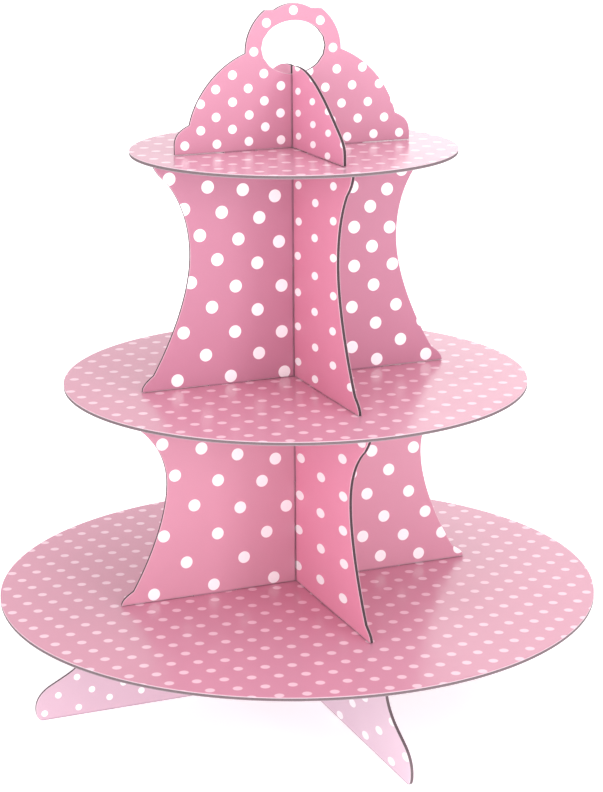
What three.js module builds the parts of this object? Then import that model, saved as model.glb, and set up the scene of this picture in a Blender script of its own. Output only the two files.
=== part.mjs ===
// A three-tier cupcake stand cut from printed board, in millimetres, +Z up.
//
// Three round discs are carried by four pairs of crossed panels: the feet, two columns and the
// handle. The panels of a pair slide together with a half-lap, one slot open at the top and one
// open at the bottom. Each panel above a disc has two tabs, which pass through slots in the disc
// and drop into notches in the panel below, so the whole stand comes apart flat.
//
// The origin is on the table under the middle of the stand. One panel of each pair runs
// along X and the other along Y.

import * as THREE from "three";

// Board and fits
const BOARD = 1.8; // thickness of the laminated board
const FACE_GAP = 0.3; // from a board's face to the slot that it passes through
const SEAT_GAP = 0.3; // between a board and the edge that it rests on
const TAB_SIDE_GAP = 0.5; // from a tab's side to the end of its slot or notch
const NOTCH_FLOOR_GAP = 0.6; // from a tab's tip to the bottom of its notch
const TAB_LENGTH = 8; // from the panel's lower edge to the tab's tip
const TAB_CORNER = 1.5; // lead-in at the tip's corners

// Smoothness of the outlines
const DISC_STEPS = 72;
const CURVE_STEPS = 9;

// Discs: radius, and where the tabs of the panels above pass through, measured from the centre
const BASE_DISC = { radius: 150, tabStart: 34, tabWidth: 22 };
const MIDDLE_DISC = { radius: 114.6, tabStart: 26, tabWidth: 20 };
const TOP_DISC = { radius: 79.3, tabStart: 20, tabWidth: 16 };

// Feet: a low board with a sloping arm that ends in a rounded nose at each side
const FOOT = {
  height: 51.4,
  topHalf: 106.4, // half the length of the edge under the base disc
  armHalf: 109.8, // where the upright edge turns out into the arm
  armRise: 36.2,
  noseHalf: 132.8, // where the arm's slope meets the round of the nose
  noseRise: 16.6,
  toeHalf: 139.2, // the furthest point of the nose
  toeRise: 4.4,
  soleHalf: 135.5, // half the length of the edge on the table
};

// Columns: a waisted board with a small scallop at each lower corner
const LOWER_COLUMN = {
  height: 105.4,
  bottomHalf: 93.6,
  scallopReach: 6.4,
  scallopRise: 6.6,
  waistHalf: 68.6,
  waistRise: 61,
  shoulderHalf: 86,
  shoulderDrop: 13.4, // from the top edge down to the start of the rounded upper corner
  topHalf: 94,
};
const UPPER_COLUMN = {
  height: 111.6,
  bottomHalf: 80,
  scallopReach: 6,
  scallopRise: 7.6,
  waistHalf: 54.2,
  waistRise: 66,
  shoulderHalf: 64.8,
  shoulderDrop: 11.1,
  topHalf: 72.2,
};

// Grip: a dome with a scalloped foot, under a ring with a finger hole
const GRIP = {
  bottomHalf: 60.8,
  footRise: 4, // straight part of the end before it rounds over
  notchHalf: 53.2, // where the scallop meets the dome
  notchRise: 13.6,
  neckHalf: 24.5, // where the dome meets the ring, and the ring's radius
  neckRise: 46,
  flatHalf: 14.5, // end of the ring's arc, before the flat beside the crown
  crownHalf: 9.4, // half the width of the small lobe on top
  crownRise: 65.9,
  height: 68.6,
  holeHalfWidth: 16.5,
  holeHalfHeight: 12.65,
  holeRise: 47.9, // centre of the finger hole
};

// Brace: the low arched board that crosses the grip
const BRACE = {
  bottomHalf: 62.3,
  footRise: 4.5,
  shoulderHalf: 57.5,
  shoulderRise: 12.7,
  flatHalf: 8, // half the flat stretch on top
  height: 39.1,
};

const PRINT = { disc: 0xf0c3d2, column: 0xdf90a9, handle: 0xee9fb8, foot: 0xf2cde0 };

// The point a share of the way from one value to another
const mix = (from, to, share) => from + (to - from) * share;

// Draws a cubic from the path's last point to (x, y). Each control point is given as its shares of
// the way across and of the way up.
function sweepTo(path, x, y, [acrossA, upA], [acrossB, upB]) {
  const { x: x0, y: y0 } = path.currentPoint;
  path.bezierCurveTo(
    mix(x0, x, acrossA),
    mix(y0, y, upA),
    mix(x0, x, acrossB),
    mix(y0, y, upB),
    x,
    y,
  );
}

// The right-hand end of each kind of panel, from the lower edge to the upper edge

function footEnd(s) {
  const end = new THREE.Path().moveTo(s.soleHalf, 0);
  sweepTo(end, s.toeHalf, s.toeRise, [0.57, 0], [0.92, 0.36]);
  end.bezierCurveTo(s.toeHalf + 0.5, mix(s.toeRise, s.noseRise, 0.4),
    mix(s.toeHalf, s.noseHalf, 0.19), mix(s.toeRise, s.noseRise, 0.72), s.noseHalf, s.noseRise);
  sweepTo(end, s.armHalf, s.armRise, [0.36, 0.25], [0.84, 0.4]);
  sweepTo(end, s.topHalf, s.height, [0.41, 0.28], [0.82, 0.63]);
  return end;
}

function columnEnd(s) {
  const end = new THREE.Path().moveTo(s.bottomHalf, 0);
  sweepTo(end, s.bottomHalf - s.scallopReach, s.scallopRise, [0, 0.38], [0.46, 0.68]);
  sweepTo(end, s.waistHalf, s.waistRise, [0.35, 0.2], [1, 0.64]);
  sweepTo(end, s.shoulderHalf, s.height - s.shoulderDrop, [0, 0.39], [0.325, 0.725]);
  sweepTo(end, s.topHalf, s.height, [0.42, 0.26], [0.94, 0.6]);
  return end;
}

function gripEnd(s) {
  const end = new THREE.Path().moveTo(s.bottomHalf, 0);
  end.lineTo(s.bottomHalf, s.footRise);
  sweepTo(end, s.notchHalf, s.notchRise, [0, 0.54], [0.37, 0.79]);
  sweepTo(end, s.neckHalf, s.neckRise, [0.09, 0.35], [0.42, 0.8]);
  const arcEnd = Math.acos(s.flatHalf / s.neckHalf);
  end.absarc(0, s.neckRise, s.neckHalf, 0, arcEnd, false);
  sweepTo(end, s.crownHalf, s.crownRise, [0.4, 0.9], [0.66, 0.1]);
  sweepTo(end, 0, s.height, [0.3, 0.63], [0.64, 1]);
  return end;
}

function braceEnd(s) {
  const end = new THREE.Path().moveTo(s.bottomHalf, 0);
  end.lineTo(s.bottomHalf, s.footRise);
  sweepTo(end, s.shoulderHalf, s.shoulderRise, [0, 0.43], [0.37, 0.67]);
  sweepTo(end, s.flatHalf, s.height, [0.23, 0.33], [0.62, 0.97]);
  return end;
}

// A flat board of this outline, its thickness centred on the outline's plane
function boardOf(shape, steps) {
  const options = { depth: BOARD, bevelEnabled: false, curveSegments: steps };
  return new THREE.ExtrudeGeometry(shape, options).translate(0, 0, -BOARD / 2);
}

// A panel's outline, made from its right-hand half and the mirror image of that half.
// lap.rise is the height of the half-lap's meeting point, and lap.open says which end of the panel
// its slot is open at. stands and carries are the discs under and over the panel, where it has one.
function panelShape(end, height, { lap, stands, carries, holes = [] }) {
  const slot = BOARD / 2 + FACE_GAP;
  const half = [];
  const add = (x, y) => half.push(new THREE.Vector2(x, y));

  if (lap.open === "bottom") {
    add(slot, lap.rise + SEAT_GAP / 2);
    add(slot, 0);
  }
  if (stands) {
    const outer = stands.tabStart + stands.tabWidth;
    add(stands.tabStart, 0);
    add(stands.tabStart, TAB_CORNER - TAB_LENGTH);
    add(stands.tabStart + TAB_CORNER, -TAB_LENGTH);
    add(outer - TAB_CORNER, -TAB_LENGTH);
    add(outer, TAB_CORNER - TAB_LENGTH);
    add(outer, 0);
  }
  half.push(...end.getPoints(CURVE_STEPS));
  if (carries) {
    const reach = TAB_LENGTH - SEAT_GAP - BOARD - SEAT_GAP;
    const floor = height - reach - NOTCH_FLOOR_GAP;
    const inner = carries.tabStart - TAB_SIDE_GAP;
    const outer = carries.tabStart + carries.tabWidth + TAB_SIDE_GAP;
    add(outer, height);
    add(outer, floor);
    add(inner, floor);
    add(inner, height);
  }
  if (lap.open === "top") {
    add(slot, height);
    add(slot, lap.rise - SEAT_GAP / 2);
  }

  const onAxis = (p) => p.x < 1e-9;
  const mirrored = half.filter((p) => !onAxis(p)).reverse();
  const shape = new THREE.Shape([...half, ...mirrored.map((p) => new THREE.Vector2(-p.x, p.y))]);
  shape.holes.push(...holes);
  return shape;
}

// A disc with one slot for each tab of the two panels that stand on it
function discShape({ radius, tabStart, tabWidth }) {
  const shape = new THREE.Shape().absarc(0, 0, radius, 0, 2 * Math.PI, false);
  const inner = tabStart - TAB_SIDE_GAP;
  const outer = tabStart + tabWidth + TAB_SIDE_GAP;
  const side = BOARD / 2 + FACE_GAP;
  const corners = [
    [inner, -side],
    [inner, side],
    [outer, side],
    [outer, -side],
  ];
  for (let quarter = 0; quarter < 4; quarter++) {
    const turn = (quarter * Math.PI) / 2;
    const turned = ([x, y]) => new THREE.Vector2(x, y).rotateAround(new THREE.Vector2(), turn);
    shape.holes.push(new THREE.Path(corners.map(turned)));
  }
  return shape;
}

function meshOf(name, geometry, color) {
  const material = new THREE.MeshStandardMaterial({ color, roughness: 0.3, metalness: 0 });
  const mesh = new THREE.Mesh(geometry, material);
  mesh.name = name;
  return mesh;
}

// A panel in its upright place, along X, or along Y when it is the crossing one
function panel(name, shape, color, alongY) {
  const geometry = boardOf(shape, CURVE_STEPS).rotateX(Math.PI / 2);
  if (alongY) geometry.rotateZ(Math.PI / 2);
  return meshOf(name, geometry, color);
}

function disc(name, size, color) {
  return meshOf(name, boardOf(discShape(size), DISC_STEPS).translate(0, 0, BOARD / 2), color);
}

// The two crossed panels of a foot or column, which share one outline. The one along X slides down
// over the one along Y.
function crossedPair(name, size, endOf, color, discs) {
  const rise = size.height / 2;
  const lapped = (open) => panelShape(endOf(size), size.height, { lap: { rise, open }, ...discs });
  return [
    panel(`${name}_front_back`, lapped("top"), color, true),
    panel(`${name}_left_right`, lapped("bottom"), color, false),
  ];
}

function handlePair() {
  const rise = (GRIP.holeRise - GRIP.holeHalfHeight) / 2;
  const { holeRise, holeHalfWidth, holeHalfHeight } = GRIP;
  const hole = new THREE.Path();
  hole.absellipse(0, holeRise, holeHalfWidth, holeHalfHeight, 0, 2 * Math.PI, true);
  const braceShape = panelShape(braceEnd(BRACE), BRACE.height, {
    lap: { rise, open: "top" },
    stands: TOP_DISC,
  });
  const gripShape = panelShape(gripEnd(GRIP), GRIP.height, {
    lap: { rise, open: "bottom" },
    stands: TOP_DISC,
    holes: [hole],
  });
  return [
    panel("handle_brace", braceShape, PRINT.handle, true),
    panel("handle_grip", gripShape, PRINT.handle, false),
  ];
}

// Stacks the levels from the table up. Each level is a group at the height where it rests.
const stand = new THREE.Group();
let level = 0;

function stack(meshes, height) {
  const group = new THREE.Group();
  group.position.z = level;
  group.add(...meshes);
  stand.add(group);
  level += height + SEAT_GAP;
}

const feet = crossedPair("foot_panel", FOOT, footEnd, PRINT.foot, { carries: BASE_DISC });
stack(feet, FOOT.height);
stack([disc("base_disc", BASE_DISC, PRINT.disc)], BOARD);
const lower = { stands: BASE_DISC, carries: MIDDLE_DISC };
stack(crossedPair("lower_column", LOWER_COLUMN, columnEnd, PRINT.column, lower), LOWER_COLUMN.height);
stack([disc("middle_disc", MIDDLE_DISC, PRINT.disc)], BOARD);
const upper = { stands: MIDDLE_DISC, carries: TOP_DISC };
stack(crossedPair("upper_column", UPPER_COLUMN, columnEnd, PRINT.column, upper), UPPER_COLUMN.height);
stack([disc("top_disc", TOP_DISC, PRINT.disc)], BOARD);
stack(handlePair(), GRIP.height);

export default stand;
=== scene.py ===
"""Looks for a three-tier cupcake stand cut from printed, laminated board.

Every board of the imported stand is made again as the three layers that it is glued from: a grey
board core and a sheet of paper on each side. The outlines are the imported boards' own, with their
curves made smooth, so each finished board sits exactly where the frame has it.
"""

import functools
import logging
import math
from collections.abc import Callable
from dataclasses import dataclass, field, fields
from enum import Enum

import bmesh
import bpy
import numpy as np
from bpy.types import Material, Node, NodeSocket, NodeTree
from mathutils import Euler, Matrix, Vector, geometry, kdtree, noise


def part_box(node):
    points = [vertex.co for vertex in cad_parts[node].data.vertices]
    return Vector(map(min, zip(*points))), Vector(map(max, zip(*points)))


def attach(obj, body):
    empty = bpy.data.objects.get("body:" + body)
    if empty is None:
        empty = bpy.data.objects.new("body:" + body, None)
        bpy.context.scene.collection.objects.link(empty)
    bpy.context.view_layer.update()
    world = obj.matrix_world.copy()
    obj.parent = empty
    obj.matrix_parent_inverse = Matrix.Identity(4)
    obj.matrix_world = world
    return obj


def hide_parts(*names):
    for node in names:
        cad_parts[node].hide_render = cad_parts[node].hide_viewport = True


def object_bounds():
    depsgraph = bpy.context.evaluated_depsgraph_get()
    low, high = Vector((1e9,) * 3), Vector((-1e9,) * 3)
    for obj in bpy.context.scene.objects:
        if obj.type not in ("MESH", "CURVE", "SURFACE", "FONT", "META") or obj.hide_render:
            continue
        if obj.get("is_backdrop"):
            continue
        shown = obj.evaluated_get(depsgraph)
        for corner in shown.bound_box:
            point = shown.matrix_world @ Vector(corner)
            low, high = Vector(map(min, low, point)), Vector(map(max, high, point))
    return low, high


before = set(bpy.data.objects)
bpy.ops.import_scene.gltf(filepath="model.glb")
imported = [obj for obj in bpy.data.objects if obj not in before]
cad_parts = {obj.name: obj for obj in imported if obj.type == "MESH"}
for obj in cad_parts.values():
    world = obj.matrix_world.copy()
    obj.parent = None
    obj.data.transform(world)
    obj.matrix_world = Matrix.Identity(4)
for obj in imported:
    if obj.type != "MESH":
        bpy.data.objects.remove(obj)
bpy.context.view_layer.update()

log = logging.getLogger("cake_stand")

MM = 0.001
RIM = "rim"

# A length in mm that is past the end of any board.
FAR_OFF = 1000.0
# How far the edge of the print fades, in mm.
PRINT_SOFTNESS = 0.12
# How far a dot may be pushed up to be whole, in mm, before it is left out.
MOST_PUSH = 2.4
# Two faces that turn by more degrees than this meet in a sharp edge.
SHARP_ANGLE = 28.0

Colour = tuple[float, float, float]


class Lie(Enum):
    """How a board lies: the axes of its length, its rise and its thickness."""

    LEVEL = (0, 1, 2)
    LEFT_RIGHT = (0, 2, 1)
    FRONT_BACK = (1, 2, 0)


SHEET_NAMES = {
    Lie.LEVEL: ("top", "under"),
    Lie.LEFT_RIGHT: ("back", "front"),
    Lie.FRONT_BACK: ("right", "left"),
}


def placed(name: str, data: bpy.types.ID) -> bpy.types.Object:
    """Makes an object and puts it in the scene.

    Args:
        name: the object's name.
        data: its mesh, light or camera.

    Returns:
        The object.
    """
    thing = bpy.data.objects.new(name, data)
    bpy.context.scene.collection.objects.link(thing)
    return thing


# ---- Node trees ----


def linear(colour: Colour) -> tuple[float, float, float, float]:
    """Turns a colour as a screen shows it, from 0 to 255, into the light that it stands for.

    Args:
        colour: red, green and blue from 0 to 255.

    Returns:
        Linear red, green and blue, and an alpha of 1.
    """
    parts = [value / 255 for value in colour]
    lit = [v / 12.92 if v <= 0.04045 else ((v + 0.055) / 1.055) ** 2.4 for v in parts]
    return (*lit, 1.0)


class Graph:
    """Places and joins the nodes of one node tree."""

    def __init__(self, tree: NodeTree) -> None:
        """Empties the node tree that it builds in, and keeps it."""
        self.tree = tree
        self.tree.nodes.clear()

    def add(self, kind: str, **settings: object) -> Node:
        """Adds a node to the right of the last one.

        Args:
            kind: the node's type name.
            settings: the node's attributes, such as its operation.

        Returns:
            The new node.
        """
        node = self.tree.nodes.new(kind)
        node.location = (len(self.tree.nodes) * 180, 0)
        for name, value in settings.items():
            setattr(node, name, value)
        return node

    def feed(self, socket: NodeSocket, value: object) -> None:
        """Joins an output to this input, or sets the input to a plain value.

        Args:
            socket: the input that is fed.
            value: an output socket, a number, a vector or a colour.
        """
        if isinstance(value, NodeSocket):
            self.tree.links.new(value, socket)
        else:
            socket.default_value = value

    def fill(self, node: Node, values: dict[str, object]) -> Node:
        """Feeds a node's inputs.

        Args:
            node: the node.
            values: what each input gets, by the input's name.

        Returns:
            The same node.
        """
        for name, value in values.items():
            self.feed(node.inputs[name], value)
        return node

    def math(self, operation: str, *values: object) -> NodeSocket:
        """Works out one number.

        Args:
            operation: the math node's operation.
            values: its inputs, as sockets or numbers.

        Returns:
            The result's socket.
        """
        node = self.add("ShaderNodeMath", operation=operation)
        for socket, value in zip(node.inputs, values):
            self.feed(socket, value)
        return node.outputs[0]

    def times(self, *values: object) -> NodeSocket:
        """Multiplies numbers."""
        return functools.reduce(functools.partial(self.math, "MULTIPLY"), values)

    def plus(self, *values: object) -> NodeSocket:
        """Adds numbers."""
        return functools.reduce(functools.partial(self.math, "ADD"), values)

    def minus(self, first: object, second: object) -> NodeSocket:
        """Takes the second number from the first."""
        return self.math("SUBTRACT", first, second)

    def scale(self, vector: object, by: object) -> NodeSocket:
        """Multiplies a vector or a colour by a number."""
        node = self.add("ShaderNodeVectorMath", operation="SCALE")
        return self.fill(node, {"Vector": vector, "Scale": by}).outputs[0]

    def either(self, test: object, no: object, yes: object) -> NodeSocket:
        """Picks one of two numbers, by a test that is 0 or 1."""
        return self.math("MULTIPLY_ADD", test, self.minus(yes, no), no)

    def distance(self, along: object, above: object) -> NodeSocket:
        """The length of a slanting line, from how far it goes along and up."""
        squares = [self.times(each, each) for each in (along, above)]
        return self.math("SQRT", self.plus(*squares))

    def span(self, value: object, low: object, high: object, start: object = 0.0,
             end: object = 1.0) -> NodeSocket:
        """Maps the range low to high onto start to end, with soft ends.

        Args:
            value: the number that is mapped.
            low: where the result is start.
            high: where the result is end.
            start: the result up to low.
            end: the result from high on.

        Returns:
            The result's socket.
        """
        node = self.add("ShaderNodeMapRange", interpolation_type="SMOOTHSTEP")
        for socket, each in zip(node.inputs, (value, low, high, start, end)):
            self.feed(socket, each)
        return node.outputs[0]

    def cloud(self, position: object, size: float, detail: float) -> NodeSocket:
        """A cloudy value round a half, from a point and a cloud's size in mm."""
        values = {"Vector": position, "Scale": 1 / size, "Detail": detail}
        return self.fill(self.add("ShaderNodeTexNoise"), values).outputs["Fac"]

    def blend(self, share: object, first: object, second: object) -> NodeSocket:
        """Mixes two colours.

        Args:
            share: how much there is of the second colour, from 0 to 1.
            first: the colour at 0.
            second: the colour at 1.

        Returns:
            The mixed colour's socket.
        """
        node = self.add("ShaderNodeMix", data_type="RGBA")
        colours = [socket for socket in node.inputs if socket.type == "RGBA"]
        self.feed(node.inputs[0], share)
        self.feed(colours[0], first)
        self.feed(colours[1], second)
        return next(socket for socket in node.outputs if socket.type == "RGBA")

    def place(self, group: NodeTree, values: dict[str, object]) -> Node:
        """Places a shared effect and feeds its inputs by name."""
        return self.fill(self.add("ShaderNodeGroup", node_tree=group), values)


class Effect(Graph):
    """A node group in the making, with named inputs and outputs."""

    def __init__(self, name: str, inputs: dict[str, float], outputs: list[str]) -> None:
        """Makes an empty group with its sockets.

        Args:
            name: the group's name.
            inputs: each input's name and its usual value; Position is a vector.
            outputs: the name of each output.
        """
        super().__init__(bpy.data.node_groups.new(name, "ShaderNodeTree"))
        for each, value in inputs.items():
            kind = "NodeSocketVector" if each == "Position" else "NodeSocketFloat"
            socket = self.tree.interface.new_socket(each, in_out="INPUT", socket_type=kind)
            if each != "Position":
                socket.default_value = value
        for each in outputs:
            self.tree.interface.new_socket(each, in_out="OUTPUT", socket_type="NodeSocketFloat")
        self.given = self.add("NodeGroupInput").outputs
        self.result = self.add("NodeGroupOutput").inputs

    def __getitem__(self, name: str) -> NodeSocket:
        """What one of the group's inputs gives."""
        return self.given[name]

    def less(self, whole: object, part: str, count: object) -> NodeSocket:
        """A number, less an input for every one of a count."""
        return self.minus(whole, self.times(self[part], count))

    def put(self, name: str, value: NodeSocket) -> None:
        """Joins a value to one of the group's outputs."""
        self.feed(self.result[name], value)


def as_inputs(values: object) -> dict[str, float]:
    """A dataclass's fields as an effect's inputs, each with its name in plain words."""
    return {each.name.replace("_", " ").capitalize(): float(getattr(values, each.name))
            for each in fields(values)}


@functools.cache
def polka_dots() -> NodeTree:
    """Dots in rows, which may fall, fan out, gather, stand staggered and be drawn out.

    Returns:
        The group. Its lengths are in mm, and its mask is 1 in a dot.
    """
    usual = {"Across": 0, "Up": 0} | as_inputs(Dots(0, 0, 20, 20, 5))
    g = Effect("Polka dots", usual, ["Mask"])
    across = g.minus(g["Across"], g["Start across"])
    up = g.minus(g["Up"], g["Start up"])

    def column_at(row: object) -> NodeSocket:
        """The column, as a number with a fraction, at a row."""
        return g.math("DIVIDE", g.less(across, "Row shift", row),
                      g.less(g["Pitch"], "Gather", row))

    rough_column = column_at(g.math("DIVIDE", up, g["Row rise"]))
    risen = g.plus(up, g.times(g["Fall"], rough_column))
    row = g.math("ROUND", g.math("DIVIDE", risen, g.less(g["Row rise"], "Fan", rough_column)))
    half = g.times(g.math("FLOORED_MODULO", row, 2.0), g["Staggered"], 0.5)
    column = g.plus(g.math("ROUND", g.minus(column_at(row), half)), half)

    pitch = g.less(g["Pitch"], "Gather", row)
    centre = g.plus(g.times(g["Row shift"], row), g.times(pitch, column))
    rise = g.less(g["Row rise"], "Fan", column)
    height = g.less(g.times(rise, row), "Fall", column)

    level = g.plus(height, g["Start up"])
    aside_of_middle = g.math("ABSOLUTE", g.plus(centre, g["Start across"]))
    nearly = g.minus(g["Lowest"], MOST_PUSH)
    kept = g.times(g.math("GREATER_THAN", aside_of_middle, g["From middle"]),
                   g.math("LESS_THAN", level, g["Highest"]), g.math("GREATER_THAN", level, nearly))
    height = g.minus(g.math("MAXIMUM", level, g["Lowest"]), g["Start up"])

    cell = g.fill(g.add("ShaderNodeCombineXYZ"), {"X": column, "Y": row})
    chance = g.fill(g.add("ShaderNodeTexWhiteNoise", noise_dimensions="3D"),
                    {"Vector": cell.outputs[0]})
    strayed = g.fill(g.add("ShaderNodeSeparateColor"), {"Color": chance.outputs["Color"]})

    def astray(place: object, part: int) -> NodeSocket:
        """The place moved a little by chance."""
        push = g.times(g.minus(strayed.outputs[part], 0.5), g["Wander"])
        return g.math("MULTIPLY_ADD", push, 2.0, place)

    aside = g.minus(across, astray(centre, 0))
    above = g.less(g.minus(up, astray(height, 1)), "Slant", aside)
    aside = g.math("DIVIDE", aside, g["Stretch"])
    edge = g.minus(g.times(g["Diameter"], 0.5), g.distance(aside, above))
    dot = g.span(edge, g.times(g["Softness"], -1.0), g["Softness"])
    g.put("Mask", g.times(dot, kept))
    return g.tree


@functools.cache
def ring_dots() -> NodeTree:
    """Dots evenly spaced round a ring, which take over from a field of dots at a height.

    Returns:
        The group. Its lengths are in mm and its angles in degrees.
    """
    usual = {"Across": 0, "Up": 0, "Field": 0} | as_inputs(DotRing(0, 20, 0, 30, 6, 4, 0))
    g = Effect("Ring dots", usual, ["Mask"])
    above = g.minus(g["Up"], g["Centre"])
    angle = g.math("DEGREES", g.math("ARCTAN2", above, g["Across"]))
    most, least = 270.0, -90.0
    past_first = g.math("WRAP", g.minus(angle, g["First angle"]), most, least)
    number = g.math("ROUND", g.math("DIVIDE", past_first, g["Angle step"]))
    number = g.math("MINIMUM", number, g.minus(g["Count"], 1.0))
    number = g.math("MAXIMUM", number, 0.0)
    place = g.math("RADIANS",
                   g.math("MULTIPLY_ADD", number, g["Angle step"], g["First angle"]))
    aside = g.minus(g["Across"], g.times(g["Radius"], g.math("COSINE", place)))
    over = g.minus(above, g.times(g["Radius"], g.math("SINE", place)))
    edge = g.minus(g.distance(aside, over), g.times(g["Diameter"], 0.5))
    ring = g.span(edge, PRINT_SOFTNESS, -PRINT_SOFTNESS)
    high = g.math("GREATER_THAN", g["Up"], g["From height"])
    g.put("Mask", g.either(high, g["Field"], ring))
    return g.tree


@functools.cache
def paper_grain() -> NodeTree:
    """The mottle and the fine tooth of coated paper.

    Returns:
        The group, with a tone round 1 and a height round a half.
    """
    g = Effect("Paper grain", {"Position": 0, "Contrast": 0.03}, ["Tone", "Height"])
    broad = g.cloud(g["Position"], 26, 3)
    fine = g.cloud(g["Position"], 0.9, 3)
    mixed = g.plus(g.times(broad, 0.65), g.times(fine, 0.35))
    swing = g.times(g.minus(mixed, 0.5), g["Contrast"])
    g.put("Tone", g.math("MULTIPLY_ADD", swing, 2.0, 1.0))
    g.put("Height", g.plus(g.times(fine, 0.7), g.times(g.cloud(g["Position"], 0.3, 1), 0.3)))
    return g.tree


@functools.cache
def edge_wear() -> NodeTree:
    """Print rubbed away along the cut edge, more in some places than in others.

    Returns:
        The group, whose mask is 1 where the paper shows through.
    """
    g = Effect("Edge wear", {"Position": 0, "Rim": 10, "Reach": 0.2, "Strength": 0.35}, ["Mask"])
    reach = g.times(g["Reach"], g.cloud(g["Position"], 3.5, 4), 1.9)
    wear_and_shade = g.span(g.minus(reach, g["Rim"]), 0.0, PRINT_SOFTNESS)
    g.put("Mask", g.times(wear_and_shade, g["Strength"]))
    return g.tree


@functools.cache
def painted_shade_lines() -> NodeTree:
    """Painted shade: dark lines beside a crossing board, and along the foot where a board stands.

    Returns:
        The group, whose mask is 1 in the line.
    """
    # The mask paints shade: a line beside the crossing board, From to To mm off the middle and
    # below Top, and a line along the board's foot.
    g = Effect("Rub line", {"Position": 0, "Across": 10, "Up": 0, "From": 0.9, "To": 1.5,
                            "Top": FAR_OFF, "Strength": 0.55}, ["Mask"])
    aside = g.math("ABSOLUTE", g["Across"])
    begun = g.span(aside, g.minus(g["From"], 0.2), g["From"])
    ended = g.span(aside, g["To"], g.plus(g["To"], 0.35), 1.0, 0.0)
    uneven = g.span(g.cloud(g["Position"], 9, 3), 0.25, 0.7, 0.7, 1.0)
    line = g.times(begun, ended, uneven, g.math("LESS_THAN", g["Up"], g["Top"]))
    foot = g.times(g.span(g["Up"], 0.25, 0.95, 0.8, 0.0), uneven)
    g.put("Mask", g.times(g.math("MAXIMUM", line, foot), g["Strength"]))
    return g.tree


@functools.cache
def handling_marks() -> NodeTree:
    """Faint smears and rubs in a varnish, which only its gloss shows.

    Returns:
        The group, with a value to add to the roughness.
    """
    g = Effect("Handling marks", {"Position": 0, "Amount": 0.05}, ["Roughness"])
    smear = g.span(g.cloud(g["Position"], 38, 3), 0.42, 0.68)
    rub = g.times(g.cloud(g["Position"], 4.5, 4), 0.5)
    g.put("Roughness", g.times(g.plus(smear, rub), g["Amount"]))
    return g.tree


@functools.cache
def board_fibres() -> NodeTree:
    """The pressed layers and loose fibres of a cut board edge.

    Returns:
        The group, with a tone round 1 and a height round a half.
    """
    g = Effect("Board fibres", {"Position": 0, "Contrast": 0.35}, ["Tone", "Height"])
    specks = g.cloud(g["Position"], 0.35, 3)
    tufts = g.cloud(g["Position"], 2.2, 4)
    mixed = g.math("MULTIPLY_ADD", specks, 0.6, g.times(tufts, 0.4))
    swing = g.times(g.minus(mixed, 0.5), g["Contrast"])
    g.put("Tone", g.math("MULTIPLY_ADD", swing, 2.0, 1.0))
    g.put("Height", mixed)
    return g.tree


# ---- Finishes ----


@dataclass(frozen=True)
class Dots:
    """A field of dots in rows, in mm, with each row numbered upwards from the start.

    A row's dots stand pitch apart, less gather for every row up, and each one is fall lower than
    the one before it. A row stands row_rise above the last one, less fan for every dot along, and
    row_shift further along. Stretch draws the dots out into ovals, slant leans them, and wander
    moves each by chance. The lowest dots are pushed up to the level lowest, so that they are
    whole. There are none above highest, and none closer than from_middle to the board's middle.
    """

    start_across: float
    start_up: float
    pitch: float
    row_rise: float
    diameter: float
    gather: float = 0.0
    row_shift: float = 0.0
    fall: float = 0.0
    fan: float = 0.0
    staggered: bool = False
    softness: float = PRINT_SOFTNESS
    stretch: float = 1.0
    slant: float = 0.0
    wander: float = 0.0
    lowest: float = -FAR_OFF
    highest: float = FAR_OFF
    from_middle: float = -1.0

    def mask(self, graph: Graph, across: object, up: object) -> NodeSocket:
        """Places the dots in a material, as a mask that is 1 in a dot."""
        values = {"Across": across, "Up": up} | as_inputs(self)
        return graph.place(polka_dots(), values).outputs["Mask"]


@dataclass(frozen=True)
class DotRing:
    """Dots round the finger hole, in mm and degrees, and the height that they start at."""

    centre: float
    radius: float
    first_angle: float
    angle_step: float
    count: int
    diameter: float
    from_height: float

    def over(self, graph: Graph, dots: object, across: object, up: object) -> NodeSocket:
        """Puts the ring in place of the field of dots from its height up."""
        values = {"Across": across, "Up": up, "Field": dots} | as_inputs(self)
        return graph.place(ring_dots(), values).outputs["Mask"]


@dataclass(frozen=True)
class Varnish:
    """How the print shines: its gloss, its handling marks and the paper's tooth in mm."""

    roughness: float
    ior: float
    marks: float
    tooth: float


GLOSS_VARNISH = Varnish(roughness=0.19, ior=1.5, marks=0.05, tooth=0.02)
SATIN_VARNISH = Varnish(roughness=0.42, ior=1.45, marks=0.08, tooth=0.06)


class Finish:
    """What every finish shares: where a point is on its board, and its shader."""

    def begin(self, name: str) -> tuple[Material, Graph, NodeSocket]:
        """Starts a material.

        Args:
            name: the material's name.

        Returns:
            The material, its tree, and the point in mm in the stand's own frame.
        """
        material = bpy.data.materials.new(name)
        material.use_nodes = True
        graph = Graph(material.node_tree)
        place = graph.add("ShaderNodeTexCoord").outputs["Object"]
        return material, graph, graph.scale(place, 1 / MM)

    def shade(self, graph: Graph, colour: object, roughness: object, height: object,
              depth: float, plain: dict[str, float]) -> None:
        """Ends a material with its shader.

        Args:
            graph: the material's tree.
            colour: the base colour.
            roughness: the roughness.
            height: the height of the fine relief.
            depth: how deep the relief is, in mm.
            plain: the values that are the same all over, by the shader's input.
        """
        bump = graph.fill(graph.add("ShaderNodeBump"), {
            "Distance": depth * MM, "Strength": 1.0, "Height": height})
        shader = graph.fill(graph.add("ShaderNodeBsdfPrincipled"), {
            "Base Color": colour, "Roughness": roughness, "Normal": bump.outputs[0]} | plain)
        graph.fill(graph.add("ShaderNodeOutputMaterial"), {"Surface": shader.outputs[0]})


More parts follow.
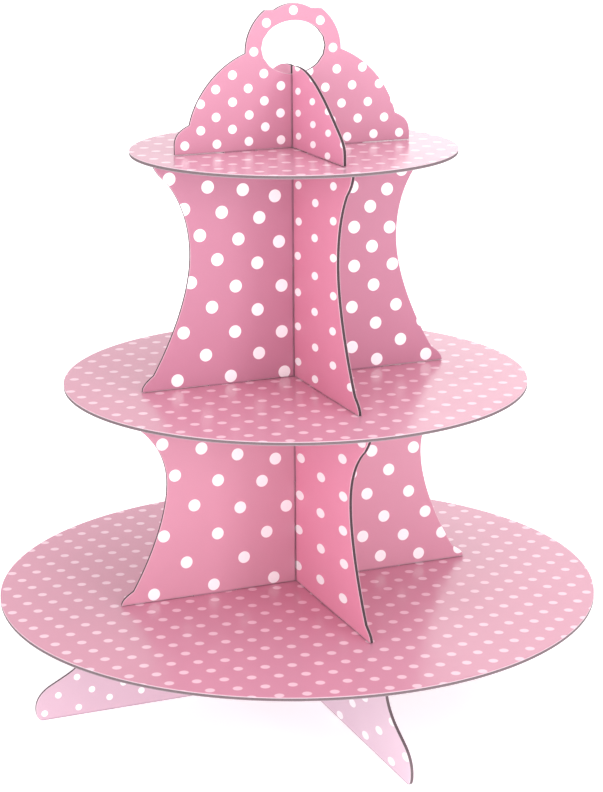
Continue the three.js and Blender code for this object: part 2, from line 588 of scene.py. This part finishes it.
@dataclass(frozen=True)
class PolkaPrint(Finish):
    """A varnished sheet printed pink with pale dots, with painted shade lines on the standing
    boards.
    """

    ink: Colour
    left: Dots
    right: Dots | None = None
    ring: DotRing | None = None
    dot: Colour = (252, 249, 251)
    varnish: Varnish = SATIN_VARNISH
    # The height in mm where the painted shade line beside a crossing board stops.
    shade_line_top: float = FAR_OFF
    paper: Colour = (244, 232, 236)
    # The colour of the painted shade lines beside a crossing board and along a board's foot.
    grime: Colour = (92, 66, 78)
    mottle: float = 0.035
    worn_roughness: float = 0.4

    def on_board(self, graph: Graph, point: object, lie: Lie,
                 foot: float) -> tuple[NodeSocket, NodeSocket]:
        """Finds where a point is on the board.

        Args:
            graph: the material's tree.
            point: the point in mm.
            lie: how the board lies.
            foot: the height of the board's lower edge, in mm.

        Returns:
            The places across the board and up it. Across runs to the right, or to the front.
        """
        parts = graph.add("ShaderNodeSeparateXYZ")
        graph.feed(parts.inputs[0], point)
        if lie is Lie.LEVEL:
            return parts.outputs[0], parts.outputs[1]
        across = parts.outputs[0]
        if lie is Lie.FRONT_BACK:
            across = graph.times(parts.outputs[1], -1.0)
        return across, graph.minus(parts.outputs[2], foot)

    def pattern(self, graph: Graph, across: object, up: object) -> NodeSocket:
        """Places all the dots.

        Args:
            graph: the material's tree.
            across: the place across the board, in mm.
            up: the place up the board, in mm.

        Returns:
            The mask's socket.
        """
        mask = self.left.mask(graph, across, up)
        if self.right is not None:
            rightward = graph.math("GREATER_THAN", across, 0.0)
            mask = graph.either(rightward, mask, self.right.mask(graph, across, up))
        if self.ring is not None:
            mask = self.ring.over(graph, mask, across, up)
        return mask

    def material(self, name: str, lie: Lie, foot: float = 0.0) -> Material:
        """Makes the print's material for one board.

        Args:
            name: the material's name.
            lie: how the board lies.
            foot: the height of the board's lower edge, in mm.

        Returns:
            The material.
        """
        material, graph, point = self.begin(name)
        across, up = self.on_board(graph, point, lie, foot)
        grain = graph.place(paper_grain(), {"Position": point, "Contrast": self.mottle})
        inked = graph.scale(graph.blend(self.pattern(graph, across, up), linear(self.ink),
                                        linear(self.dot)), grain.outputs["Tone"])
        # Painted shade: dark lines beside the crossing board and along the board's foot, mixed
        # into the print.
        if lie is not Lie.LEVEL:
            wear_and_shade = graph.place(painted_shade_lines(), {"Position": point, "Across": across, "Up": up,
                                              "Top": self.shade_line_top})
            inked = graph.blend(wear_and_shade.outputs["Mask"], inked, linear(self.grime))
        rim = graph.add("ShaderNodeAttribute", attribute_name=RIM).outputs["Fac"]
        worn = graph.place(edge_wear(), {"Position": point, "Rim": rim}).outputs["Mask"]
        marks = graph.place(handling_marks(), {"Position": point, "Amount": self.varnish.marks})
        rough = graph.plus(marks.outputs["Roughness"], self.varnish.roughness)
        rough = graph.math("MULTIPLY_ADD", worn, self.worn_roughness, rough)
        self.shade(graph, graph.blend(worn, inked, linear(self.paper)), rough,
                   grain.outputs["Height"], self.varnish.tooth, {"IOR": self.varnish.ior})
        return material


@dataclass(frozen=True)
class PlainFinish(Finish):
    """Unprinted paper or board in one colour, with its own grain to a depth in mm."""

    colour: Colour
    roughness: float
    grain: Callable[[], NodeTree]
    contrast: float
    depth: float
    plain: dict[str, float]
    marks: float = 0.08

    def material(self, name: str) -> Material:
        """Makes the material.

        Args:
            name: the material's name.

        Returns:
            The material.
        """
        material, graph, point = self.begin(name)
        grain = graph.place(self.grain(), {"Position": point, "Contrast": self.contrast})
        colour = graph.scale(linear(self.colour)[:3], grain.outputs["Tone"])
        marks = graph.place(handling_marks(), {"Position": point, "Amount": self.marks})
        rough = graph.plus(marks.outputs["Roughness"], self.roughness)
        self.shade(graph, colour, rough, grain.outputs["Height"], self.depth, self.plain)
        return material


def paper(colour: Colour) -> PlainFinish:
    """Bare paper, seen at the cut edges of the sheets and under the discs."""
    return PlainFinish(colour, 0.7, paper_grain, 0.08, 0.08, {"IOR": 1.45})


def cut_board(colour: Colour) -> PlainFinish:
    """The grey core of the board, seen where it is cut."""
    return PlainFinish(colour, 0.88, board_fibres, 0.4, 0.15, {"Specular IOR Level": 0.3})


# ---- Outlines ----


@dataclass
class Outline:
    """The closed loops round a board, in mm, with the board to the left of each.

    A facet longer than long_run times its neighbours is a straight run, and a turn of more than
    corner_turn degrees is a corner. All other facets belong to curves.
    """

    node: str
    lie: Lie
    weld: float = 0.01
    cap_depth: float = 0.05
    corner_turn: float = 20.0
    long_run: float = 3.0
    curve_step: float = 1.4
    straight_step: float = 4.0
    most_bend: float = 0.5
    loops: list[np.ndarray] = field(default_factory=list)

    def read(self) -> None:
        """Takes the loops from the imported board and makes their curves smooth."""
        length, rise, through = self.lie.value
        shape = bmesh.new()
        shape.from_mesh(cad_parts[self.node].data)
        bmesh.ops.remove_doubles(shape, verts=shape.verts, dist=self.weld * MM)
        top = max(vert.co[through] for vert in shape.verts) - self.cap_depth * MM
        cap = [f for f in shape.faces if all(v.co[through] > top for v in f.verts)]
        in_cap = set(cap)
        follow = {}
        for face in cap:
            for loop in face.loops:
                if sum(other in in_cap for other in loop.edge.link_faces) == 1:
                    follow[loop.vert] = loop.link_loop_next.vert
        while follow:
            first = next(iter(follow))
            chain = [first]
            step = follow.pop(first)
            while step is not first:
                chain.append(step)
                step = follow.pop(step)
            points = np.array([(v.co[length] / MM, v.co[rise] / MM) for v in chain])
            self.loops.append(self.smoothed(points))
        shape.free()
        self.loops.sort(key=lambda points: -abs(turned_area(points)))
        for index, points in enumerate(self.loops):
            wanted = 1 if index == 0 else -1
            if turned_area(points) * wanted < 0:
                self.loops[index] = points[::-1]

    def smoothed(self, points: np.ndarray) -> np.ndarray:
        """Puts a smooth curve through the facets of a loop, and keeps its corners.

        Args:
            points: the loop's corners, in order.

        Returns:
            The loop with closely spaced points.
        """
        run = np.roll(points, -1, axis=0) - points
        long = np.hypot(run[:, 0], run[:, 1])
        heading = np.degrees(np.arctan2(run[:, 1], run[:, 0]))
        turn = np.abs((heading - np.roll(heading, 1) + 180) % 360 - 180)
        corner = turn > self.corner_turn
        near = np.maximum(np.roll(long, 1), np.roll(long, -1))
        straight = (long > self.long_run * near) | (corner & np.roll(corner, -1))
        made = []
        count = len(points)
        for i in range(count):
            here, there = points[i], points[(i + 1) % count]
            if straight[i]:
                pieces = max(1, math.ceil(long[i] / self.straight_step))
                made += [here + (there - here) * k / pieces for k in range(pieces)]
                continue
            before = self.beyond(points, i, -1, corner[i], straight[i - 1])
            after = self.beyond(points, (i + 1) % count, 1, corner[(i + 1) % count],
                                straight[(i + 1) % count])
            pieces = max(1, math.ceil(long[i] / self.curve_step))
            made += curve_between(before, here, there, after, pieces)
        return np.array(made)

    def beyond(self, points: np.ndarray, at: int, way: int, corner: bool,
               straight: bool) -> np.ndarray:
        """The point that a curve would pass through next, past one of its ends.

        Args:
            points: the loop's corners.
            at: the end's index.
            way: 1 to look forwards, -1 to look back.
            corner: whether the end is a corner.
            straight: whether a straight run follows the end.

        Returns:
            The point, which is made up where the curve stops.
        """
        count = len(points)
        here, inside = points[at], points[(at - way) % count]
        outside = points[(at + way) % count]
        reach = np.linalg.norm(here - inside)
        if corner:
            further = points[(at - 2 * way) % count]
            bend = (here - inside) - (inside - further)
            if np.linalg.norm(bend) > self.most_bend * reach:
                bend = np.zeros(2)
            return here + (here - inside) + bend
        if straight:
            away = outside - here
            return here + away * reach / np.linalg.norm(away)
        return outside


def turned_area(points: np.ndarray) -> float:
    """The area in a loop, less than 0 where it runs clockwise."""
    x, y = points[:, 0], points[:, 1]
    return float(np.sum(x * np.roll(y, -1) - np.roll(x, -1) * y) / 2)


def curve_between(before: np.ndarray, start: np.ndarray, end: np.ndarray, after: np.ndarray,
                  pieces: int) -> list[np.ndarray]:
    """Points of a smooth curve from start to end, without the end.

    Args:
        before: the point that the curve comes from.
        start: its first point.
        end: its last point.
        after: the point that it goes on to.
        pieces: how many points to give.

    Returns:
        The points.
    """
    knots = [0.0]
    for one, two in ((before, start), (start, end), (end, after)):
        knots.append(knots[-1] + math.sqrt(np.linalg.norm(two - one)))
    a, b, c, d = knots
    points = []
    for k in range(pieces):
        t = b + (c - b) * k / pieces
        one = ((b - t) * before + (t - a) * start) / (b - a)
        two = ((c - t) * start + (t - b) * end) / (c - b)
        three = ((d - t) * end + (t - c) * after) / (d - c)
        four = ((c - t) * one + (t - a) * two) / (c - a)
        five = ((d - t) * two + (t - b) * three) / (d - b)
        points.append(((c - t) * four + (t - b) * five) / (c - b))
    return points


# ---- Boards ----


@dataclass(frozen=True)
class Station:
    """One step of a layer's edge: how far in it is cut, and its height, in mm."""

    inset: float
    height: float


@dataclass(frozen=True)
class Lamination:
    """How the board is built up, in mm.

    The sheets' outer edges are rounded, and round_middle is how far in the middle of that round
    lies, as a share of it. The core is cut back by recess and frayed, and the board is warped.
    """

    sheet: float = 0.22
    rounding: float = 0.08
    round_middle: float = 0.3
    recess: float = 0.05
    fray: float = 0.03
    fray_fineness: float = 1.7
    warp: float = 0.1
    warp_length: float = 75.0


class Flat:
    """A flat, finely divided area inside an outline, from which each layer is made.

    Points lie in two rings that follow the edge and in a grid, with lengths in mm. A ring keeps
    ring_room of its distance from the edge, the grid keeps grid_room of its step from the inner
    ring, and no two points share a cell. Sharpest limits how far a sharp corner moves inwards.
    """

    rings_at = (1.0, 2.6)
    grid_step = 6.5
    ring_room = 0.9
    grid_room = 0.3
    cell = 0.7
    sharpest = 0.35

    def __init__(self, outline: Outline) -> None:
        """Divides the area.

        Args:
            outline: the loops round it.
        """
        self.rings = []
        start = 0
        for loop in outline.loops:
            self.rings.append(range(start, start + len(loop)))
            start += len(loop)
        self.edge_count = start
        self.border = np.vstack(outline.loops)
        self.inward = np.vstack([self.mitres(loop) for loop in outline.loops])
        self.tree = kdtree.KDTree(start)
        for index, (x, y) in enumerate(self.border):
            self.tree.insert((x, y, 0), index)
        self.tree.balance()
        inner = self.inner_points()
        self.points = np.vstack([self.border, inner])
        self.rim = np.concatenate([np.zeros(start), [self.reach(p) for p in inner]])
        self.triangles = self.divide()

    def mitres(self, loop: np.ndarray) -> np.ndarray:
        """How each point of a loop moves when the edge is cut 1 mm further in."""
        run = np.roll(loop, -1, axis=0) - loop
        run /= np.linalg.norm(run, axis=1)[:, None]
        left = np.column_stack([-run[:, 1], run[:, 0]])
        last = np.roll(left, 1, axis=0)
        share = 1 + np.sum(left * last, axis=1)
        return (left + last) / np.maximum(share, self.sharpest)[:, None]

    def reach(self, point: np.ndarray) -> float:
        """The distance from a point to the nearest point of the edge."""
        return self.tree.find((point[0], point[1], 0))[2]

    def inside(self, points: np.ndarray) -> np.ndarray:
        """Which points lie on the board.

        Args:
            points: the points to look at.

        Returns:
            True for each point on the board.
        """
        crossings = np.zeros(len(points), int)
        for ring in self.rings:
            loop = self.border[ring.start:ring.stop]
            ends = np.roll(loop, -1, axis=0)
            for (x1, y1), (x2, y2) in zip(loop, ends):
                if y1 == y2:
                    continue
                spans = (points[:, 1] > min(y1, y2)) & (points[:, 1] <= max(y1, y2))
                at = x1 + (points[:, 1] - y1) * (x2 - x1) / (y2 - y1)
                crossings += spans & (points[:, 0] < at)
        return crossings % 2 == 1

    def inner_points(self) -> np.ndarray:
        """Points inside the area: rings that follow its edge, and a grid.

        Returns:
            The points.
        """
        offered = [(self.border + self.inward * distance, distance * self.ring_room)
                   for distance in self.rings_at]
        low, high = self.border.min(0), self.border.max(0)
        counts = np.maximum(2, np.ceil((high - low) / self.grid_step).astype(int))
        xs = np.linspace(low[0], high[0], counts[0])
        ys = np.linspace(low[1], high[1], counts[1])
        grid = np.array([(x, y) for x in xs for y in ys])
        offered.append((grid, self.rings_at[-1] + self.grid_step * self.grid_room))
        kept = []
        taken = set()
        for points, least in offered:
            for point in points[self.inside(points)]:
                cell = (round(point[0] / self.cell), round(point[1] / self.cell))
                if cell not in taken and self.reach(point) >= least:
                    taken.add(cell)
                    kept.append(point)
        return np.array(kept)

    def divide(self) -> list[tuple[int, int, int]]:
        """Triangles that fill the area.

        Returns:
            Three point numbers for each, turning to the left.
        """
        edges = []
        for ring in self.rings:
            edges += [(i, ring.start if i + 1 == ring.stop else i + 1) for i in ring]
        given = [Vector((x, y)) for x, y in self.points]
        places, _, faces, sources, _, _ = geometry.delaunay_2d_cdt(given, edges, [], 0, 1e-6)
        middles = np.array([sum((places[i] for i in f), Vector((0, 0))) / 3 for f in faces])
        keep = self.inside(middles)
        return [tuple(sources[i][0] for i in f) for f, wanted in zip(faces, keep) if wanted]


@dataclass
class LaminatedBoard:
    """One board of the stand: a grey core with a sheet on each side."""

    node: str
    lie: Lie
    slot: str
    stands_on: str = ""
    make: Lamination = field(default_factory=Lamination)
    layers: dict[str, bpy.types.Object] = field(default_factory=dict)

    def build(self) -> None:
        """Makes the core and the two sheets where the frame has the board."""
        low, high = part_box(self.node)
        through = self.lie.value[2]
        self.middle = (low[through] + high[through]) / 2 / MM
        self.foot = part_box(self.stands_on)[1][2] / MM if self.stands_on else 0.0
        half = (high[through] - low[through]) / 2 / MM
        outline = Outline(self.node, self.lie)
        outline.read()
        flat = Flat(outline)
        core = half - self.make.sheet
        recess = self.make.recess
        self.layer(flat, "core", [Station(recess, -core), Station(0.0, 0.0),
                                  Station(recess, core)], self.make.fray)
        bend = self.make.rounding
        part = bend * self.make.round_middle
        for name, side in zip(SHEET_NAMES[self.lie], (1, -1)):
            self.layer(flat, name + "_sheet", [
                Station(0.0, side * core), Station(0.0, side * (half - bend)),
                Station(part, side * (half - part)), Station(bend, side * half)])
        log.info("%s: %d points round it, %d faces a side", self.node, flat.edge_count,
                 len(flat.triangles))

    def layer(self, flat: Flat, name: str, stations: list[Station], fray: float = 0.0) -> None:
        """Makes one closed layer.

        Args:
            flat: the board's divided area.
            name: the layer's name.
            stations: the steps of its edge, from the core outwards.
            fray: how far the edge may stray inwards, in mm.
        """
        border = flat.edge_count
        flats, rims, starts = [], [], []
        for index, station in enumerate(stations):
            starts.append(sum(len(each) for each in flats))
            inset = np.full(border, station.inset)
            if fray:
                inset += [fray * (0.5 + 0.5 * noise.noise(Vector((x, y, station.height))
                                                          * self.make.fray_fineness))
                          for x, y in flat.border]
            points = flat.points.copy()
            points[:border] += flat.inward * inset[:, None]
            capped = index in (0, len(stations) - 1)
            points = points if capped else points[:border]
            flats.append(np.column_stack([points, np.full(len(points), station.height)]))
            rims.append(flat.rim if capped else flat.rim[:border])
        places = np.vstack(flats)
        last = starts[-1]
        faces = [tuple(reversed(face)) for face in flat.triangles]
        faces += [tuple(i + last for i in face) for face in flat.triangles]
        outer = [False] * len(flat.triangles) + [True] * len(flat.triangles)
        for step, (one, two) in enumerate(zip(starts, starts[1:])):
            for ring in flat.rings:
                for i in ring:
                    j = ring.start if i + 1 == ring.stop else i + 1
                    faces.append((one + i, one + j, two + j, two + i))
                    outer.append(step > 0)
        self.layers[name] = self.solid(name, places, faces, outer, np.concatenate(rims))

    def solid(self, name: str, places: np.ndarray, faces: list[tuple[int, ...]],
              outer: list[bool], rim: np.ndarray) -> bpy.types.Object:
        """Turns a layer's points and faces into a piece that rides on the board's body.

        Args:
            name: the layer's name.
            places: along, up and out from the board's middle, in mm.
            faces: the point numbers of each face.
            outer: whether each face is on the outside of a sheet.
            rim: each point's distance from the edge, in mm.

        Returns:
            The piece.
        """
        length, rise, through = self.lie.value
        spots = np.zeros((len(places), 3))
        spots[:, length] = places[:, 0]
        spots[:, rise] = places[:, 1]
        bow = [noise.noise(Vector((x, y, self.middle + self.foot)) / self.make.warp_length)
               for x, y in places[:, :2]]
        spots[:, through] = self.middle + places[:, 2] + np.array(bow) * self.make.warp
        mesh = bpy.data.meshes.new(f"{self.node}_{name}")
        mesh.from_pydata((spots * MM).tolist(), [], faces)
        mesh.polygons.foreach_set("material_index", [0 if each else 1 for each in outer])
        mesh.polygons.foreach_set("use_smooth", [True] * len(faces))
        mesh.attributes.new(RIM, "FLOAT", "POINT").data.foreach_set("value", rim)
        work = bmesh.new()
        work.from_mesh(mesh)
        bmesh.ops.recalc_face_normals(work, faces=work.faces)
        work.to_mesh(mesh)
        work.free()
        mesh.set_sharp_from_angle(angle=math.radians(SHARP_ANGLE))
        piece = placed(mesh.name, mesh)
        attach(piece, self.node)
        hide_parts(self.node)
        return piece

    def dress(self, sheets: dict[str, tuple[Material, Material]],
              cut: Material) -> None:
        """Gives the layers their materials.

        Args:
            sheets: each sheet's outside, and its cut edge and glued side, by the layer's name.
            cut: the core's material.
        """
        for name, piece in self.layers.items():
            for material in sheets.get(name, (cut, cut)):
                piece.data.materials.append(material)


@dataclass
class BoardMaterials:
    """The plain materials that boards share."""

    cut: Material
    liner: Material
    pale_cut: Material
    pale_liner: Material
    backing: Material


class SubAssembly:
    """Boards that go together."""

    boards: list[LaminatedBoard]

    def build(self) -> None:
        """Makes every board."""
        for board in self.boards:
            board.build()


@dataclass
class CrossedPair(SubAssembly):
    """Two standing boards that cross in the middle, each printed alike on both faces."""

    deep_name: str
    wide_name: str
    deep: PolkaPrint
    wide: PolkaPrint
    slot: str
    stands_on: str = ""
    pale_edges: bool = False

    def __post_init__(self) -> None:
        """Names the two boards."""
        self.boards = [
            LaminatedBoard(self.deep_name, Lie.FRONT_BACK, self.slot, self.stands_on),
            LaminatedBoard(self.wide_name, Lie.LEFT_RIGHT, self.slot, self.stands_on)]

    def dress(self, shared: BoardMaterials) -> None:
        """Prints both boards.

        Args:
            shared: the plain materials.
        """
        liner, cut = shared.liner, shared.cut
        if self.pale_edges:
            liner, cut = shared.pale_liner, shared.pale_cut
        for board, finish in zip(self.boards, (self.deep, self.wide)):
            printed = finish.material(board.node + "_print", board.lie, board.foot)
            names = [each + "_sheet" for each in SHEET_NAMES[board.lie]]
            board.dress(dict.fromkeys(names, (printed, liner)), cut)


@dataclass
class TierDisc(SubAssembly):
    """One round tier, printed on top and plain paper below, with thicker sheets."""

    name: str
    finish: PolkaPrint
    sheet: float = 0.35
    slot: str = "disc_print"

    def __post_init__(self) -> None:
        """Names the board."""
        self.boards = [LaminatedBoard(self.name, Lie.LEVEL, self.slot,
                                      make=Lamination(sheet=self.sheet))]

    def dress(self, shared: BoardMaterials) -> None:
        """Prints the top.

        Args:
            shared: the plain materials.
        """
        board = self.boards[0]
        printed = self.finish.material(self.name + "_print", Lie.LEVEL)
        board.dress({"top_sheet": (printed, shared.pale_liner),
                     "under_sheet": (shared.backing, shared.backing)}, shared.pale_cut)


# ---- Studio ----


@dataclass(frozen=True)
class SoftBox:
    """A large soft light that looks at the stand, in metres and degrees."""

    name: str
    turn: float
    rise: float
    distance: float
    width: float
    height: float
    watts: float

    def light(self, target: Vector) -> None:
        """Hangs the light.

        Args:
            target: the point that it looks at.
        """
        lamp = bpy.data.lights.new(self.name, "AREA")
        lamp.shape = "RECTANGLE"
        lamp.size = self.width
        lamp.size_y = self.height
        lamp.energy = self.watts
        turn, rise = math.radians(self.turn), math.radians(self.rise)
        away = Vector((math.sin(turn) * math.cos(rise), -math.cos(turn) * math.cos(rise),
                       math.sin(rise)))
        holder = placed(self.name, lamp)
        holder.location = target + away * self.distance
        holder.rotation_euler = (-away).to_track_quat("-Z", "Y").to_euler()


@dataclass(frozen=True)
class Studio:
    """A pale floor, a white surround and soft lights."""

    floor_size: float = 40.0
    floor_colour: Colour = (252, 252, 252)
    floor_glow: float = 0.5
    surround: float = 1.04
    surround_colour: tuple[float, ...] = (1.0, 0.985, 0.99, 1.0)
    lights: tuple[SoftBox, ...] = (
        SoftBox("key_light", 24, 14, 2.2, 0.5, 0.5, 9),
        SoftBox("fill_light", -5, 2, 2.4, 1.8, 0.6, 12),
        SoftBox("left_light", -62, 8, 2.2, 1.4, 1.4, 15),
        SoftBox("top_light", 10, 65, 2.4, 1.6, 1.6, 8),
        SoftBox("back_light", 140, 18, 2.6, 1.6, 1.2, 4))

    def build(self, target: Vector) -> None:
        """Lays the floor and lights the stand.

        Args:
            target: the middle of the stand.
        """
        scene = bpy.context.scene
        scene.view_settings.view_transform = "Standard"
        half = self.floor_size / 2
        mesh = bpy.data.meshes.new("floor")
        mesh.from_pydata([(-half, -half, 0), (half, -half, 0), (half, half, 0),
                          (-half, half, 0)], [], [(0, 1, 2, 3)])
        placed("floor", mesh)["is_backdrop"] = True
        material = bpy.data.materials.new("floor_paint")
        material.use_nodes = True
        graph = Graph(material.node_tree)
        shader = graph.fill(graph.add("ShaderNodeBsdfPrincipled"), {
            "Base Color": linear(self.floor_colour), "Roughness": 0.9, "Specular IOR Level": 0.1,
            "Emission Color": (1, 1, 1, 1), "Emission Strength": self.floor_glow})
        graph.fill(graph.add("ShaderNodeOutputMaterial"), {"Surface": shader.outputs[0]})
        mesh.materials.append(material)
        world = bpy.data.worlds.new("surround")
        world.use_nodes = True
        sky = Graph(world.node_tree)
        glow = sky.fill(sky.add("ShaderNodeBackground"), {
            "Color": self.surround_colour, "Strength": self.surround})
        sky.fill(sky.add("ShaderNodeOutputWorld"), {"Surface": glow.outputs[0]})
        scene.world = world
        for light in self.lights:
            light.light(target)


@dataclass(frozen=True)
class ViewPoint:
    """Where the camera stands, in mm and degrees."""

    turn: float = 22.07
    distance: float = 1049.0
    sideways: float = 2.87
    height: float = 442.3
    tip: float = 15.53
    roll: float = -0.41
    lens: float = 99.45
    clip: tuple[float, float] = (0.05, 100.0)

    def build(self) -> None:
        """Makes the camera."""
        lens = bpy.data.cameras.new("camera")
        lens.lens = self.lens
        lens.clip_start, lens.clip_end = self.clip
        camera = placed("camera", lens)
        turn = math.radians(self.turn)
        ahead = Vector((math.sin(turn), math.cos(turn), 0))
        right = Vector((math.cos(turn), -math.sin(turn), 0))
        place = right * self.sideways - ahead * self.distance
        camera.location = (place + Vector((0, 0, self.height))) * MM
        aim = Euler((math.radians(90 - self.tip), 0, -turn)).to_matrix()
        camera.rotation_euler = (aim @ Matrix.Rotation(math.radians(self.roll), 3, "Z")).to_euler()
        bpy.context.scene.camera = camera


# ---- The stand ----

INK = (213, 145, 168)
DEEP_INK = (213, 132, 159)
DISC_DOT = (246, 207, 221)

CORE = (74, 58, 64)
PAPER = (196, 166, 178)
PALE_CORE = (112, 97, 102)
PALE_PAPER = (192, 173, 182)
BACKING = (150, 134, 141)
DISC_DOTS = Dots(-1.3, -9.1, 12.2, 12.0, 4.4, row_shift=-2.0, fall=2.8, softness=0.4)

DISC_PRINT = PolkaPrint(INK, DISC_DOTS, dot=DISC_DOT, varnish=GLOSS_VARNISH)
# Painted light: the top disc's ink and dots are a lighter copy of the other discs' print, standing
# in for the top disc's gloss reflecting less of the pink boards.
TOP_PRINT_PAINTED_LIGHT = PolkaPrint((216, 155, 176), DISC_DOTS, dot=(247, 216, 227), varnish=GLOSS_VARNISH)
# Painted light and shade: the two columns share one print, but the upper column's inks are darker
# and the lower column's lighter, to even out the light on the two tiers.
UPPER_WIDE = PolkaPrint((189, 125, 149),
                        left=Dots(-6.5, 1.3, 27.7, 11.3, 6.3, gather=1.23, row_shift=-0.4,
                                  fall=1.9, fan=0.21, staggered=True, wander=0.8, lowest=3.6,
                                  highest=108, from_middle=3.5),
                        right=Dots(30.0, 12.4, 26.6, 10.1, 6.3, gather=1.1, row_shift=0.15,
                                   fall=-0.1, fan=0.33, staggered=True, wander=0.8, lowest=3.6,
                                   highest=108, from_middle=3.5))
UPPER_DEEP = PolkaPrint(DEEP_INK,
                        Dots(5.8, 9.3, 21.5, 17.4, 4.0, row_shift=0.3, fall=5.0, stretch=2.0,
                             slant=0.14, wander=0.8, lowest=2.6, highest=109, from_middle=4.5))
LOWER_WIDE = PolkaPrint((206, 144, 165),
                        left=Dots(-13.3, 2.3, 31.7, 13.3, 6.2, gather=2.38, row_shift=-1.57,
                                  fall=1.14, fan=0.76, staggered=True, wander=0.8, lowest=4.4,
                                  highest=102, from_middle=3.5),
                        right=Dots(23.2, 7.0, 22.6, 11.5, 6.2, row_shift=1.4, fall=1.0,
                                   staggered=True, wander=1.0, lowest=4.4, highest=102,
                                   from_middle=3.5))
LOWER_DEEP = PolkaPrint((226, 144, 171),
                        Dots(3.1, 9.9, 29.4, 19.0, 4.8, gather=1.17, row_shift=1.96, fall=-0.7,
                             fan=0.73, stretch=2.1, slant=0.14, wander=1.0, lowest=3.0,
                             highest=102.5, from_middle=2.8))
# The grip's painted shade line beside the brace stops 37 mm up.
GRIP_PRINT = PolkaPrint((194, 132, 155),
                        left=Dots(-7.0, 4.5, 16.3, 6.4, 4.4, staggered=True, wander=0.3,
                                  lowest=2.6, from_middle=2.6),
                        right=Dots(27.6, 3.8, 14.0, 8.2, 4.4, row_shift=-1.4, staggered=True,
                                   wander=0.3, lowest=2.6, from_middle=2.6),
                        ring=DotRing(45.2, 20.4, 5, 42.5, 5, 4.4, 39.5), shade_line_top=37)
BRACE_PRINT = PolkaPrint((215, 140, 168),
                         Dots(8.3, 7.1, 18.0, 10.6, 3.4, fall=2.5, stretch=2.0, slant=0.14,
                              wander=0.6, lowest=2.2, from_middle=4))
FOOT_WIDE = PolkaPrint((210, 176, 192),
                       Dots(60.0, 4.5, 17.0, 7.0, 3.3, fall=-0.6, staggered=True, wander=1.2,
                            lowest=3.0, highest=49.0, from_middle=2.6))
FOOT_DEEP = PolkaPrint((225, 197, 212),
                       Dots(57.0, 3.5, 31.0, 10.5, 4.0, staggered=True, stretch=2.0,
                            slant=0.14, wander=1.2, lowest=3.4, highest=48.5, from_middle=4.5))


def main() -> None:
    """Builds the stand from the floor up, then the studio round it."""
    logging.basicConfig(level=logging.INFO, format="%(name)s: %(message)s")
    shared = BoardMaterials(
        cut=cut_board(CORE).material("cut_board"), liner=paper(PAPER).material("paper_liner"),
        pale_cut=cut_board(PALE_CORE).material("pale_cut_board"),
        pale_liner=paper(PALE_PAPER).material("pale_paper"),
        backing=paper(BACKING).material("backing_paper"))
    stand = [
        CrossedPair("foot_panel_front_back", "foot_panel_left_right", FOOT_DEEP, FOOT_WIDE,
                    "foot_print", pale_edges=True),
        TierDisc("base_disc", DISC_PRINT),
        CrossedPair("lower_column_front_back", "lower_column_left_right", LOWER_DEEP,
                    LOWER_WIDE, "column_print", "base_disc"),
        TierDisc("middle_disc", DISC_PRINT),
        CrossedPair("upper_column_front_back", "upper_column_left_right", UPPER_DEEP,
                    UPPER_WIDE, "column_print", "middle_disc"),
        TierDisc("top_disc", TOP_PRINT_PAINTED_LIGHT),
        CrossedPair("handle_brace", "handle_grip", BRACE_PRINT, GRIP_PRINT, "handle_print",
                    "top_disc"),
    ]
    for part in stand:
        part.build()
        part.dress(shared)
        for board in part.boards:
            log.info("dressed %s: %s", board.node, ", ".join(board.layers))
    low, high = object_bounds()
    Studio().build((low + high) / 2)
    ViewPoint().build()


if __name__ == "__main__":
    main()
